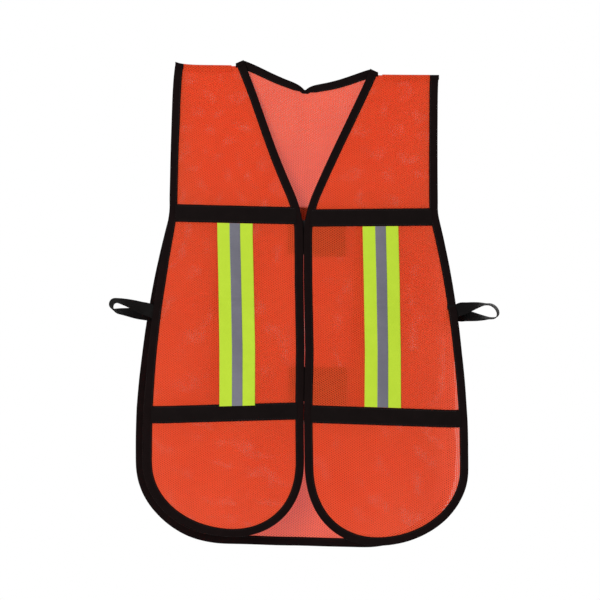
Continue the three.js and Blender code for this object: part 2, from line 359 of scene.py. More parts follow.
class Path:
    """A line in a panel's plane, with the cloth on its left. A left front's path is drawn as the right's.

    pinch gives the share of its width that a strip keeps, by the distance from the path's middle.
    """

    def __init__(self, panel, points, rounds=0, pinch=None):
        points = soften(resample(np.array(points, float), STEP), rounds)
        tangent = tangents(points)
        self.panel = panel
        self.flip = -1 if panel == "front_left" else 1
        self.points = points
        self.normal = np.stack([-tangent[:, 1], tangent[:, 0]], axis=1)
        self.run = lengths(points)
        self.length = self.run[-1]
        self.wide = np.ones(len(points)) if pinch is None else pinch(self.run - self.length / 2)

    def flat(self, run, across):
        """A point in the panel's plane: run along the path, across to its left."""
        across = across * np.interp(run, self.run, self.wide)
        x, z = (
            np.interp(run, self.run, self.points[:, k]) + across * np.interp(run, self.run, self.normal[:, k])
            for k in range(2)
        )
        return self.flip * x, z

    def at(self, run, across, out):
        return drape(self.panel, *self.flat(run, across), out)


# Meshes


def shell_faces(rows, columns):
    """Faces of rings of points, closed round each ring and capped across its two faces at both ends."""
    faces = []
    for row in range(rows - 1):
        a, b = row * columns, (row + 1) * columns
        for k in range(columns):
            after = (k + 1) % columns
            faces.append((a + k, a + after, b + after, b + k))
    for start in (0, (rows - 1) * columns):
        for k in range(columns // 2 - 1):
            far = columns - 1 - k
            faces.append((start + k, start + k + 1, start + far - 1, start + far))
    return faces


def new_object(name, data):
    made = bpy.data.objects.new(name, data)
    bpy.context.scene.collection.objects.link(made)
    return made


SHARP_ANGLE = math.radians(60)


def build(name, points, faces, uv, material):
    """A smooth mesh object. uv is each point's place on its flat cloth, in metres."""
    mesh = bpy.data.meshes.new(name)
    mesh.from_pydata(points.reshape(-1, 3).tolist(), [], faces)
    corners = np.empty(len(mesh.loops), int)
    mesh.loops.foreach_get("vertex_index", corners)
    layer = mesh.uv_layers.new(name="cut")
    layer.data.foreach_set("uv", uv.reshape(-1, 2)[corners].astype(np.float32).ravel())
    outward = bmesh.new()
    outward.from_mesh(mesh)
    bmesh.ops.recalc_face_normals(outward, faces=outward.faces)
    outward.to_mesh(mesh)
    outward.free()
    mesh.polygons.foreach_set("use_smooth", [True] * len(mesh.polygons))
    mesh.set_sharp_from_angle(angle=SHARP_ANGLE)
    mesh.materials.append(material)
    return new_object(name, mesh)


def section_of(skin, lining):
    """The points round a tape's two faces, and the place of each across the flat tape."""
    over = lengths(skin)
    return np.vstack([skin, lining[::-1]]), np.concatenate([over, over[::-1]])


def strip(name, path, profile, material, lift=None):
    """A strip along a path. profile is its two faces, each a list of (across, out) points."""
    section, over = section_of(*profile)
    run, across = np.meshgrid(path.run, section[:, 0], indexing="ij")
    out = np.broadcast_to(section[:, 1], run.shape)
    if lift is not None:
        out = out + lift(run)
    uv = np.stack([run, np.broadcast_to(over, run.shape)], axis=-1)
    return build(name, path.at(run, across, out), shell_faces(*run.shape), uv, material)


EDGE_SHARE = 0.35  # of a tape's thickness, left at its very edge


def flat_profile(width, span, soft, dome=0.0, count=13):
    """A flat tape's two faces, at the span's two heights, with edges rounded over a soft distance and its
    middle raised a little.
    """
    low, high = span
    half, centre = (high - low) / 2, (high + low) / 2
    across = width * (0.5 - 0.5 * np.cos(np.linspace(0, math.pi, count)))
    inset = np.clip(1 - np.minimum(across, width - across) / soft, 0, 1)
    thick = half * np.maximum(EDGE_SHARE, np.sqrt(1 - inset**2))
    raised = dome * (1 - (2 * across / width - 1) ** 2)
    return np.stack([across, centre + thick + raised], 1), np.stack([across, centre - thick], 1)


# A binding's outer face from its inner edge to its fold, in mm: distance from the vest's edge, and height.
BINDING_FACE = [(12, 0.5), (11.7, 0.95), (11, 1.1), (10.1, 0.9), (9, 1.15), (6.5, 1.3), (4, 1.4), (2, 1.35)]
BINDING_NOSE = 1.35  # mm, the radius of its fold
BINDING_NOSE_TURN = math.radians(60)  # to each side
BINDING_LINING = 0.32  # mm, the height of its inner faces
BINDING_INSIDE = 0.9  # mm, from the vest's edge to the inside of its fold


def binding_profile():
    """A tape folded over the edge of the cloth, sewn down near its inner edges."""
    face = np.array(BINDING_FACE)
    face[:, 0] *= BINDING_WIDTH / MM / face[0, 0]
    turn = np.linspace(BINDING_NOSE_TURN, -BINDING_NOSE_TURN, 7)
    nose = np.stack([BINDING_NOSE * (1 - np.cos(turn)), BINDING_NOSE * np.sin(turn)], axis=1)
    skin = np.vstack([face, nose, face[::-1] * (1, -1)])
    inside = np.clip(skin[:, 0], BINDING_INSIDE, None)
    face_to_face = np.clip(3 * skin[:, 1] / BINDING_NOSE, -1, 1)
    lining = np.stack([inside, BINDING_LINING * face_to_face], axis=1)
    return skin * MM, lining * MM


def copies(name, shape, shape_faces, places, material):
    """Many copies of a small shape. A place is a path, and the run, side and height of each copy's points."""
    points = [path.at(run, side, height).reshape(-1, 3) for path, run, side, height in places]
    uv = [np.stack([run, side], axis=-1).reshape(-1, 2) for _, run, side, _ in places]
    count = sum(len(p) for p in points) // len(shape)
    faces = [tuple(k * len(shape) + v for v in face) for k in range(count) for face in shape_faces]
    return build(name, np.vstack(points), faces, np.vstack(uv), material)


def ringed(rings):
    """A closed shape of rings of four points. A ring is its (along, across, up) centre and its radius."""
    ring = np.array([(0, 0, 1), (0, 1, 0), (0, 0, -1), (0, -1, 0)])
    points = np.vstack([np.array(centre) + radius * ring for centre, radius in rings])
    faces = [(3, 2, 1, 0), tuple(range(len(points) - 4, len(points)))]
    for start in range(0, len(points) - 4, 4):
        for k in range(4):
            after = (k + 1) % 4
            faces.append((start + k, start + after, start + 4 + after, start + 4 + k))
    return points, faces


THREAD = 0.26 * MM
STITCH_LENGTH = 0.78  # of the pitch
# A stitch's rings: the share of its length run, and its height and radius in threads.
STITCH_RINGS = [(0.02, -0.8, 0.35), (0.18, 0.1, 0.8), (0.5, 0.4, 1.0), (0.82, 0.1, 0.8), (0.98, -0.8, 0.35)]


def stitches(name, rows, material, thread=THREAD):
    """Rows of stitches. A row is its path, its distance across it, its height, its start and its end."""
    long = STITCH_LENGTH * STITCH_PITCH / thread
    shape, shape_faces = ringed([((share * long, 0, up), radius) for share, up, radius in STITCH_RINGS])
    shape = shape * thread
    places = []
    for path, across, out, start, end in rows:
        first = start + STITCH_PITCH * np.arange(int((end - start) / STITCH_PITCH))[:, None]
        run = first + shape[:, 0]
        side = across + shape[:, 1] + np.zeros_like(run)
        height = out + math.copysign(1, out) * shape[:, 2] + np.zeros_like(run)
        places.append((path, run, side, height))
    return copies(name, shape, shape_faces, places, material)


def seam_rows(path, width, inset, heights, start, end):
    """Rows of stitches along both edges of a strip, at each of the heights."""
    sides = (inset, width - inset)
    return [(path, across, height, start, end) for across in sides for height in heights]


# Materials


COLOUR_A, COLOUR_B, COLOUR_MIXED = 6, 7, 2  # a Mix node's colour sockets


class Graph:
    """A material written as a few calls. A number given for a socket is set, and a socket is linked."""

    def __init__(self, name):
        self.material = bpy.data.materials.new(name)
        self.material.use_nodes = True
        self.tree = self.material.node_tree
        self.tree.nodes.clear()

    def node(self, kind, inputs, **settings):
        made = self.tree.nodes.new("ShaderNode" + kind)
        for name, value in settings.items():
            setattr(made, name, value)
        for key, value in inputs.items():
            if isinstance(value, bpy.types.NodeSocket):
                self.tree.links.new(value, made.inputs[key])
            else:
                made.inputs[key].default_value = value
        return made

    def uv(self):
        return self.node("UVMap", {}, uv_map="cut").outputs["UV"]

    def math(self, operation, a, b=0.0):
        return self.node("Math", {0: a, 1: b}, operation=operation).outputs[0]

    def vector(self, operation, a, b=(0, 0, 0)):
        made = self.node("VectorMath", {0: a, 1: b}, operation=operation)
        return made.outputs["Value" if operation == "LENGTH" else "Vector"]

    def parts(self, vector):
        split = self.node("SeparateXYZ", {0: vector})
        return split.outputs["X"], split.outputs["Y"]

    def ramp(self, value, low, high, to_low=0.0, to_high=1.0):
        inputs = {"Value": value, "From Min": low, "From Max": high, "To Min": to_low, "To Max": to_high}
        return self.node("MapRange", inputs, interpolation_type="SMOOTHSTEP").outputs["Result"]

    def noise(self, vector, size, detail=2.0):
        inputs = {"Vector": vector, "Scale": 1 / size, "Detail": detail}
        return self.node("TexNoise", inputs).outputs["Fac"]

    def blend(self, factor, a, b):
        """Mixes two colours."""
        inputs = {"Factor": factor, COLOUR_A: (*a, 1), COLOUR_B: (*b, 1)}
        return self.node("Mix", inputs, data_type="RGBA").outputs[COLOUR_MIXED]

    def wave(self, value, period):
        """A sine of a distance, from 0 to 1."""
        turn = self.math("SINE", self.math("MULTIPLY", value, TAU / period))
        return self.math("ADD", self.math("MULTIPLY", turn, 0.5), 0.5)

    def bump(self, height, distance, strength=1.0):
        inputs = {"Height": height, "Distance": distance, "Strength": strength}
        return self.node("Bump", inputs).outputs["Normal"]

    def principled(self, **inputs):
        named = {key.replace("_", " "): value for key, value in inputs.items()}
        return self.node("BsdfPrincipled", named).outputs["BSDF"]

    def finish(self, shader):
        self.node("OutputMaterial", {"Surface": shader})
        return self.material


KNIT_CELL = (4.9 * MM, 3.3 * MM)  # a repeat of the knit, with a hole at its corners and one in its middle
HOLE_EDGE = 0.12 * MM
HOLE_RIM = 0.6 * MM  # the yarn's colour is painted darker towards a hole over this distance, as shade round it
YARN = (0.99, 0.165, 0.046)
# Of the fronts and of the back: a hole's radius, the share of it that stray fibres cover, the yarn's colour
# beside a hole, and the colour of the light that comes through one face of the cloth, away from a hole and
# beside it.
# The colours beside a hole are painted shade round it, painted deeper on the back than on the fronts.
FRONT_KNIT = (0.52 * MM, 0.2, (0.85, 0.05, 0.012), (0.955, 0.385, 0.33), (0.88, 0.27, 0.22))
BACK_KNIT = (0.48 * MM, 0.45, (0.70, 0.03, 0.008), (0.965, 0.45, 0.41), (0.85, 0.25, 0.21))
YARN_THROUGH = 0.62  # share of the light that the yarn lets through
KNIT_DRIFT = 3.5 * MM  # how far the knit wanders off its lattice
KNIT_DRIFT_LENGTH = 40 * MM
KNIT_CLOUD = 60 * MM  # size of the patches where its shade changes
KNIT_DEPTH = 0.35 * MM


def knit_place(graph, uv):
    """A place on the cloth, which wanders a little off the knit's lattice."""
    wander = {"Vector": uv, "Scale": 1 / KNIT_DRIFT_LENGTH, "Detail": 1.0}
    drift = graph.node("TexNoise", wander).outputs["Color"]
    return graph.vector("ADD", uv, graph.vector("MULTIPLY", drift, (KNIT_DRIFT, KNIT_DRIFT, 0)))


def hole_distance(graph, place):
    """Distance from the nearest hole on either of the knit's two lattices, in metres."""
    cell = graph.vector("DIVIDE", place, (*KNIT_CELL, 1))
    distances = []
    for shift in ((0, 0, 0), (0.5, 0.5, 0)):
        turned = graph.vector("FRACTION", graph.vector("ADD", cell, shift))
        centred = graph.vector("SUBTRACT", turned, (0.5, 0.5, 0))
        distances.append(graph.vector("LENGTH", graph.vector("MULTIPLY", centred, (*KNIT_CELL, 0))))
    return graph.math("MINIMUM", *distances)


def knit_loops(graph, place):
    """The loops of yarn, in rows that zigzag across the cloth."""
    x, z = graph.parts(place)
    zigzag = graph.math("ABSOLUTE", graph.math("SUBTRACT", graph.wave(x, KNIT_CELL[0] / 3), 0.5))
    slant = graph.math("ADD", z, graph.math("MULTIPLY", zigzag, KNIT_CELL[1] / 3))
    return graph.math("MULTIPLY", graph.wave(x, KNIT_CELL[0] / 6), graph.wave(slant, KNIT_CELL[1] / 4))


def mesh_cloth(name, hole, veil, rim_shade_colour, glow, rim_shade_glow):
    """Warp-knitted mesh: staggered round holes between rounded cords of yarn, slightly see-through."""
    graph = Graph(name)
    uv = graph.uv()
    place = knit_place(graph, uv)
    distance = hole_distance(graph, place)
    solid = graph.ramp(distance, hole - HOLE_EDGE, hole + HOLE_EDGE)
    rim = graph.ramp(distance, hole, hole + HOLE_RIM)
    loops = knit_loops(graph, place)
    cloudy = graph.ramp(graph.noise(uv, KNIT_CLOUD), 0.3, 0.7)
    # Painted shade: the yarn's colour and the light through it darken towards each hole; they also change a
    # little between its loops and in random patches.
    shade = graph.math("MULTIPLY", rim, graph.ramp(loops, 0.0, 0.6, 0.75, 1.0))
    shade = graph.math("MULTIPLY", shade, graph.ramp(cloudy, 0.0, 1.0, 0.9, 1.0))
    colour = graph.blend(shade, rim_shade_colour, YARN)
    height = graph.math("ADD", rim, graph.math("MULTIPLY", loops, 0.4))
    normal = graph.bump(height, KNIT_DEPTH)
    face = graph.principled(
        Base_Color=colour,
        Roughness=0.9,
        Specular_IOR_Level=0.1,
        Sheen_Weight=0.03,
        Sheen_Roughness=0.5,
        Normal=normal,
    )
    glowing = graph.blend(shade, rim_shade_glow, glow)
    through = graph.node("BsdfTranslucent", {"Color": glowing, "Normal": normal}).outputs[0]
    cloth = graph.node("MixShader", {0: YARN_THROUGH, 1: face, 2: through}).outputs[0]
    clear = graph.node("BsdfTransparent", {}).outputs[0]
    covered = graph.math("MAXIMUM", solid, veil)
    return graph.finish(graph.node("MixShader", {0: covered, 1: clear, 2: cloth}).outputs[0])


WEAR = 14 * MM  # size of a woven tape's worn patches
LINT = 1.1 * MM


def woven(name, dark, light, pitch, depth, roughness, specular):
    """A plain weave of two shades, with cloudy wear. Pitch and depth are in mm."""
    graph = Graph(name)
    uv = graph.uv()
    run, over = graph.parts(uv)
    weave = graph.math(
        "ABSOLUTE",
        graph.math("SUBTRACT", graph.wave(run, 2 * pitch[0] * MM), graph.wave(over, 2 * pitch[1] * MM)),
    )
    wear = graph.ramp(graph.noise(uv, WEAR, 4.0), 0.35, 0.75, 0.55, 1.0)
    lint = graph.ramp(graph.noise(uv, LINT, 3.0), 0.3, 0.8, 0.7, 1.0)
    shade = graph.math("MULTIPLY", weave, graph.math("MULTIPLY", wear, lint))
    face = graph.principled(
        Base_Color=graph.blend(shade, dark, light),
        Roughness=graph.ramp(weave, 0.0, 1.0, roughness + 0.1, roughness),
        Specular_IOR_Level=specular,
        Normal=graph.bump(weave, depth * MM),
    )
    return graph.finish(face)


BEAD = 0.35 * MM
ROLLED = 9 * MM  # size of the film's faint unevenness
FILM_DEPTH = 0.12 * MM


def retroreflective():
    """Silver film of glass beads on cloth: an even grey with a fine sparkle and a faint rolled texture."""
    graph = Graph("retroreflective")
    uv = graph.uv()
    beads = graph.node("TexVoronoi", {"Vector": uv, "Scale": 1 / BEAD}, feature="F1").outputs["Distance"]
    rolled = graph.noise(uv, ROLLED, 3.0)
    shade = graph.math("ADD", graph.math("MULTIPLY", beads, 0.5), graph.math("MULTIPLY", rolled, 0.5))
    height = graph.math("ADD", graph.math("MULTIPLY", beads, 0.15), rolled)
    face = graph.principled(
        Base_Color=graph.blend(shade, (0.145, 0.142, 0.173), (0.104, 0.102, 0.128)),
        Metallic=0.25,
        Roughness=graph.ramp(beads, 0.0, 0.6, 0.42, 0.55),
        Specular_IOR_Level=0.3,
        Normal=graph.bump(height, FILM_DEPTH, 0.6),
    )
    return graph.finish(face)


PLY = 0.5 * MM  # from one ply of a thread to the next
PLY_DEPTH = 0.08 * MM


def sewing_thread(name, dark, light):
    """Twisted thread: slanting plies along each stitch."""
    graph = Graph(name)
    run, over = graph.parts(graph.uv())
    plies = graph.wave(graph.math("ADD", run, over), PLY)
    face = graph.principled(
        Base_Color=graph.blend(plies, dark, light),
        Roughness=0.6,
        Specular_IOR_Level=0.3,
        Normal=graph.bump(plies, PLY_DEPTH),
    )
    return graph.finish(face)


CLUMP = 5 * MM


def pile(name, dark, light, grain, depth):
    """The face of hook or loop tape: a dense pile of short fibres."""
    graph = Graph(name)
    uv = graph.uv()
    tufts = graph.noise(uv, grain, 5.0)
    clumps = graph.noise(uv, CLUMP)
    shade = graph.math("MULTIPLY", graph.ramp(tufts, 0.3, 0.7), graph.ramp(clumps, 0.2, 0.8, 0.5, 1.0))
    face = graph.principled(
        Base_Color=graph.blend(shade, dark, light),
        Roughness=0.9,
        Specular_IOR_Level=0.15,
        Sheen_Weight=0.1,
        Sheen_Roughness=0.6,
        Normal=graph.bump(tufts, depth),
    )
    return graph.finish(face)


# The back's knit has deeper painted shade round its holes than the fronts'.
FRONT_MESH = mesh_cloth("front_mesh", *FRONT_KNIT)
BACK_MESH = mesh_cloth("back_mesh", *BACK_KNIT)
BINDING = woven("binding_tape", (0.004, 0.002, 0.002), (0.012, 0.006, 0.006), (0.45, 0.45), 0.1, 0.75, 0.04)
WEBBING = woven("band_webbing", (0.003, 0.0016, 0.0016), (0.010, 0.0058, 0.0054), (1.3, 0.9), 0.2, 0.65, 0.05)
STRAPPING = woven(
    "strap_webbing", (0.003, 0.0025, 0.0025), (0.010, 0.009, 0.009), (1.0, 0.8), 0.2, 0.65, 0.06
)
LIME = woven("lime_tape", (0.39, 0.562, 0.024), (0.49, 0.673, 0.037), (0.5, 0.4), 0.06, 0.55, 0.15)
SILVER = retroreflective()
BLACK_THREAD = sewing_thread("black_thread", (0.006, 0.004, 0.004), (0.03, 0.024, 0.024))
LIME_THREAD = sewing_thread("lime_thread", (0.40, 0.60, 0.03), (0.62, 0.82, 0.09))
SILVER_THREAD = sewing_thread("silver_thread", (0.15, 0.15, 0.17), (0.30, 0.30, 0.33))
LOOP_PILE = pile("loop_pile", (0.004, 0.003, 0.003), (0.022, 0.018, 0.019), 0.7 * MM, 0.5 * MM)
HOOK_PILE = pile("hook_pile", (0.005, 0.004, 0.004), (0.02, 0.017, 0.018), 0.4 * MM, 0.1 * MM)


# How pieces move


def bend_front(piece):
    """Bakes the piece's place into its mesh."""
    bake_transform(piece)
    return piece


def attach(piece, place, slot, *nodes):
    """place is a front side, whose pieces only have their place baked into their mesh, or the back or another
    body, which the piece rides on stiffly.
    """
    if place in SIDES:
        bend_front(piece)
    else:
        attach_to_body(piece, place)
    if nodes:
        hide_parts(*nodes)
    return piece


# Panels

ROWS = 150
TOP_SHARE = 0.6  # of the rows are evenly spread, and the rest close up towards the hem
CLOTH_INSET = 1.4 * MM  # from the vest's edge to the cloth's, inside the binding
COLUMN = 4.5 * MM
CLOTH_END = 0.3 * MM  # cut off each grid's top and bottom, so that no row closes to a point
NECK_FADE = 8  # how fast the back's rows straighten out below the neck


# Each panel is cut from its own stretch of the knit, turned a little off its grain: place and turn.
CUT_FROM = {
    "back": ((2.013, 0.711), math.radians(-2)),
    "front_left": ((0, 0), math.radians(2.5)),
    "front_right": ((0, 0), math.radians(2)),
}


def row_heights(top, bottom):
    share = np.linspace(0, 1, ROWS)
    share = TOP_SHARE * share + (1 - TOP_SHARE) * np.sin(share * math.pi / 2)
    return top + (bottom - top) * share


def inset_line(points):
    path = Path("back", points)
    return np.stack(path.flat(path.run, CLOTH_INSET), axis=1)


def sheet_piece(name, panel, x, z, top, bottom, material):
    """A thin sheet between two heights, from its grid of points in the panel's plane."""
    columns = x.shape[1]
    both = np.concatenate([np.arange(columns), np.arange(columns)[::-1]])
    out = np.concatenate([top + np.zeros_like(x), (bottom + np.zeros_like(x))[:, ::-1]], axis=1)
    points = drape(panel, x[:, both], z[:, both], out)
    place, turn = CUT_FROM[panel]
    rotate = np.array([(math.cos(turn), math.sin(turn)), (-math.sin(turn), math.cos(turn))])
    uv = np.stack([x[:, both], z[:, both]], axis=-1) @ rotate + place
    return build(name, points, shell_faces(*out.shape), uv, material)


def front_grid(side):
    line = inset_line(front_line())
    lowest = line[:, 1].argmin()
    inner, outer = line[: lowest + 1][::-1], line[lowest:]
    z = row_heights(-CLOTH_END, line[lowest, 1] + CLOTH_END)
    near = np.interp(z, inner[:, 1], inner[:, 0])[:, None]
    far = np.interp(z, outer[:, 1], outer[:, 0])[:, None]
    x = near + (far - near) * np.linspace(0, 1, round(HEM_HALF / COLUMN))
    return SIDES[side] * x, z[:, None] + np.zeros_like(x)


def back_grid():
    line = inset_line(back_line())
    right = line[line[:, 1].argmin() :]
    rows = row_heights(-CLOTH_END, right[0, 1] + CLOTH_END)
    half = np.interp(rows, right[:, 1], right[:, 0])
    x = half[:, None] * np.linspace(-1, 1, 2 * round(HEM_HALF / COLUMN) + 1)
    neck = back_neck_line()[::-1]
    dip = np.minimum(0, np.interp(x[0], neck[:, 0], neck[:, 1]) - CLOTH_INSET)
    fade = np.linspace(1, 0, ROWS)[:, None] ** NECK_FADE
    return x, rows[:, None] + dip * fade


def add_cloth(name, panel, grid, place, nodes):
    mesh = BACK_MESH if panel == "back" else FRONT_MESH
    cloth = sheet_piece(name, panel, *grid, CLOTH / 2, -CLOTH / 2, mesh)
    return attach(cloth, place, "mesh", *nodes)


# Edges

EDGE_SEAM = BINDING_WIDTH * 10.1 / 12  # from the vest's edge to its stitches, in the dip in BINDING_FACE
EDGE_SEAM_OUT = 0.95 * MM
EDGE_ROUNDS = 10  # of softening, for the corners of an edge
NECK_PINCHES = [(0.36, 9 * MM), (0.12, 40 * MM)]  # share of the width lost, and over what length


def neck_pinch(distance):
    """The binding is creased narrower towards the middle of the back's neck."""
    return 1 - sum(share * np.exp(-((distance / length) ** 2)) for share, length in NECK_PINCHES)


def add_edging(name, panel, line, place, nodes, rounds=EDGE_ROUNDS, pinch=None):
    """A binding along an edge, and the stitches that show on its two faces."""
    path = Path(panel, line, rounds, pinch)
    edging = attach(strip(name, path, binding_profile(), BINDING), place, "binding", *nodes)
    rows = [(path, EDGE_SEAM, out, STEP, path.length - STEP) for out in (EDGE_SEAM_OUT, -EDGE_SEAM_OUT)]
    seam = attach(stitches(f"{name}_stitches", rows, BLACK_THREAD), place, "binding")
    return [edging, seam]


# A saddle's two faces: how many walls high each is at the top, and how far down its legs the points are.
TOP_OUTSIDE, TOP_INSIDE = 1.6, 0.6
LEG_SHARES = np.array([1, 0.97, 0.6, 0.25])


def saddle(name, start, end, leg, reach, wall, material):
    """A strip folded over the top of the shoulder, from one point of its edge to another. reach is half its
    width inside, leg is how far it comes down each face, and wall is its thickness.
    """
    start, end = np.array(start), np.array(end)
    long = np.linalg.norm(end - start)
    share = np.linspace(0, 1, round(long / STEP) + 1)[:, None]
    turn = np.linspace(math.pi, 0, 9)
    drops = leg * LEG_SHARES

    def face(half, top):
        arch = np.stack([half * np.cos(turn), top * np.sin(turn)], axis=1)
        legs = np.stack([-half - drops * SIN, -drops], axis=1)
        return np.vstack([legs, arch, legs[::-1] * (-1, 1)])

    section, over = section_of(face(reach + wall, TOP_OUTSIDE * wall), face(reach, TOP_INSIDE * wall))
    flat = start + (end - start) * share
    across, up = settle("back", flat[:, :1], 0)
    level = np.zeros((len(share), len(section)))
    x, z = flat[:, :1] + across + level, flat[:, 1:] + up + section[:, 1]
    points = np.stack([x, section[:, 0] + level, z], axis=-1)
    uv = np.stack([share * long + level, over + level], axis=-1)
    return build(name, points, shell_faces(*level.shape), uv, material)


# Bands and tapes

BAND_SPAN = (0.4 * MM, 1.6 * MM)  # heights of a band's two faces
BAND_PROFILE = flat_profile(BAND_WIDTH, BAND_SPAN, soft=0.8 * MM, dome=0.25 * MM)
BAND_TOP = 1.7 * MM
BAND_TUCK = 2.5 * MM  # how far a band runs under the bindings
BAND_SEAM = 2.2 * MM  # from a band's edge to its stitches
INSIDE = -0.35 * MM  # height of the thread on the cloth's inner face


def add_band(name, panel, z, start, place, nodes):
    """A band of webbing from start out to the side, where its ends run under the bindings."""
    low = z - BAND_WIDTH / 2
    path = Path(panel, [(start, low), (edge_at(z) - BINDING_WIDTH + BAND_TUCK, low)])
    band = attach(strip(name, path, BAND_PROFILE, WEBBING), place, "webbing", *nodes)
    ends = (BAND_TUCK, path.length - BAND_TUCK)
    rows = seam_rows(path, BAND_WIDTH, BAND_SEAM, (BAND_TOP, INSIDE), *ends)
    seam = attach(stitches(f"{name}_stitches", rows, BLACK_THREAD), place, "webbing")
    return [band, seam]


LIME_SPAN = (0.4 * MM, 1.3 * MM)  # heights of the lime tape's two faces
SILVER_SPAN = (1.4 * MM, 1.85 * MM)
TAPE_SEAM = 1.6 * MM
LIME_SEAM_OUT = 1.36 * MM
SILVER_SEAM = 1 * MM
SILVER_SEAM_OUT = 1.88 * MM
SILVER_THREAD_WIDTH = 0.16 * MM


def tape_path(panel, node, longer):
    """A path up the edge of an upright tape, so that the tape is on its left."""
    low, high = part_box(node)
    flip = -1 if panel == "front_left" else 1
    x = max(flip * low.x, flip * high.x)
    return Path(panel, [(x, along(low.z) - longer), (x, along(high.z))])


def add_tape(panel, name, longer=0, lift=None):
    """A lime tape with its silver strip, and the thread that holds each. longer is added at its foot."""
    lime_node, silver_node = f"{name}_lime_tape", f"{name}_silver_strip"
    lime_path, silver_path = (tape_path(panel, node, longer) for node in (lime_node, silver_node))
    wide, narrow = size(lime_node).x, size(silver_node).x
    lime_profile = flat_profile(wide, LIME_SPAN, soft=0.6 * MM, dome=0.1 * MM, count=21)
    silver_profile = flat_profile(narrow, SILVER_SPAN, soft=0.3 * MM, dome=0.05 * MM)
    lime = strip(f"tape_{name}", lime_path, lime_profile, LIME, lift)
    silver = strip(f"reflector_{name}", silver_path, silver_profile, SILVER, lift)
    ends = (STEP, lime_path.length - STEP)
    lime_rows = seam_rows(lime_path, wide, TAPE_SEAM, (LIME_SEAM_OUT, INSIDE), *ends)
    silver_rows = seam_rows(silver_path, narrow, SILVER_SEAM, [SILVER_SEAM_OUT], *ends)
    lime_seam = stitches(f"tape_{name}_stitches", lime_rows, LIME_THREAD)
    silver_seam = stitches(f"reflector_{name}_stitches", silver_rows, SILVER_THREAD, SILVER_THREAD_WIDTH)
    return [
        attach(lime, panel, "lime_tape", lime_node),
        attach(lime_seam, panel, "lime_tape"),
        attach(silver, panel, "silver_strip", silver_node),
        attach(silver_seam, panel, "silver_strip"),
    ]


TAPE_LAP = 3 * MM  # how far the left front's tape lies over the band
TAPE_LIFT = 1.3 * MM
TAPE_LIFT_END = 15 * MM  # from its lower end to where it lies flat again
TAPE_LIFT_RAMP = 9 * MM


def over_band(run):
    """Lifts the lower end of a tape that is sewn down over the band."""
    return TAPE_LIFT * smooth((TAPE_LIFT_END - run) / TAPE_LIFT_RAMP)


# The closure: hook tabs on the left front, which reach behind the loop pads on the right front

PAD_SPAN = (-1.6 * MM, -0.5 * MM)  # heights of the loop pads' backing
LOOP_TIPS = -2.3 * MM
LOOP_UNEVEN = 0.55 * MM
TAB_SPAN = (-4.1 * MM, -3.3 * MM)
HOOK_PITCH = 1.7 * MM
HOOK = 1 * MM  # how tall a hook is
# A hook's rings: how far along and how high each is, and its radius, in hooks.
HOOK_RINGS = [(0, 0, 0.24), (0.05, 0.6, 0.2), (0.3, 0.85, 0.16), (0.55, 0.6, 0.1)]
PAD_SEAM = 2 * MM
PILE_STEP = 1 * MM


def loop_pile(name, panel, x_range, z_range):
    """The loops: an uneven layer on the pad's inner side."""
    x, z = np.meshgrid(np.arange(*x_range, PILE_STEP), np.arange(*z_range, -PILE_STEP))
    uneven = np.random.default_rng(7).uniform(0, LOOP_UNEVEN, x.shape)
    return sheet_piece(name, panel, x, z, PAD_SPAN[0], LOOP_TIPS + uneven, LOOP_PILE)


def hooks(name, path, start, end, width):
    """Rows of small hooks on a tab's outer side, all leaning along it."""
    shape, shape_faces = ringed([((along_hook, 0, up), radius) for along_hook, up, radius in HOOK_RINGS])
    shape = shape * HOOK
    along_tab = np.arange(start, end, HOOK_PITCH)
    over = np.arange(PAD_SEAM, width - PAD_SEAM, HOOK_PITCH)
    first, side = (grid.reshape(-1, 1) for grid in np.meshgrid(along_tab, over))
    run = first + shape[:, 0]
    place = (path, run, side + shape[:, 1], TAB_SPAN[1] + shape[:, 2] + np.zeros_like(run))
    return copies(name, shape, shape_faces, [place], HOOK_PILE)


def add_closure(place):
    pad_low, pad_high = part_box(f"loop_pad_{place}")
    tab_low, tab_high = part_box(f"hook_tab_{place}")
    low, height = along(pad_low.z), along(pad_high.z - pad_low.z)
    pad_path = Path("front_right", [(pad_low.x, low), (pad_high.x, low)])
    tab_path = Path("front_left", [(-tab_high.x, low), (-tab_low.x, low)])
    pad = strip(f"pad_{place}", pad_path, flat_profile(height, PAD_SPAN, soft=0.5 * MM), LOOP_PILE)
    inside = (pad_low.x + PAD_SEAM, pad_high.x - PAD_SEAM), (low + height - PAD_SEAM, low + PAD_SEAM)
    loops = loop_pile(f"loops_{place}", "front_right", *inside)
    tab = strip(f"tab_{place}", tab_path, flat_profile(height, TAB_SPAN, soft=0.4 * MM), HOOK_PILE)
    hook_end = tab_high.x - pad_low.x
    tab_hooks = hooks(f"hooks_{place}", tab_path, PAD_SEAM, hook_end - PAD_SEAM, height)
    sewn = (hook_end + BINDING_WIDTH, tab_path.length - PAD_SEAM)
    rows = seam_rows(tab_path, height, PAD_SEAM, [TAB_SPAN[0]], *sewn)
    seam = stitches(f"tab_{place}_stitches", rows, BLACK_THREAD)
    attach(pad, "front_right", "closure_pad", f"loop_pad_{place}")
    attach(loops, "front_right", "closure_pad")
    attach(tab, "front_left", "closure_pad", f"hook_tab_{place}")
    attach(tab_hooks, "front_left", "closure_pad")
    attach(seam, "front_left", "closure_pad")


# Side straps

STRAP_ROOT_X = 203 * MM
STRAP_EDGE_X = 214 * MM
STRAP_THICK = 1.2 * MM
STRAP_WAIST = 0.35  # share of the loop's length at which its legs are closest
STRAP_SPREAD = 0.9  # share of its length by which they are fully apart again
STRAP_TURN_POWER = 0.85  # how much of its turn comes early
STRAP_UNDER = -2.4 * MM  # height of its ends, under the bindings
